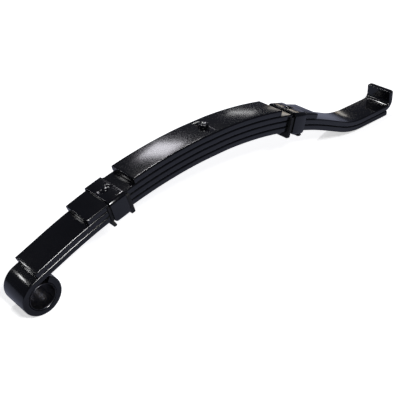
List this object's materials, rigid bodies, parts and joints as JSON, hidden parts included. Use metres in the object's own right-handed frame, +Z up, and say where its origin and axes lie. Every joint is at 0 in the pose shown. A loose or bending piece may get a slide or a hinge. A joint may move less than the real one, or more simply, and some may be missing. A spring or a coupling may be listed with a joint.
{
  "type": "leaf spring",
  "caption": "Multi-leaf vehicle spring with a rolled eye, an upturned hook end, a centre bolt and riveted rebound clips with moulded liners.",
  "frame": {"origin": "middle of the spring's length and width, on the surface it stands on", "axes": "+X along the spring from the rolled eye towards the hook, +Y across its width, +Z up, with the arch's crown upwards"},
  "size_m": [1.149, 0.0892, 0.2177],
  "materials": {
    "black_paint": "gloss",
    "black_rubber": "satin",
    "bush_steel": "satin"
  },
  "bodies": {
    "root": {"main_leaf": "black_paint", "hook_leaf": "black_paint", "third_leaf": "black_paint", "short_leaf": "black_paint", "eye_bush": "bush_steel", "centre_bolt": "black_paint", "centre_nut": "black_paint", "eye_clip_strap": "black_paint", "eye_clip_liner": "black_rubber", "eye_clip_rivet": "black_paint", "hook_clip_strap": "black_paint", "hook_clip_liner": "black_rubber", "hook_clip_rivet": "black_paint"}
  },
  "joints": []
}
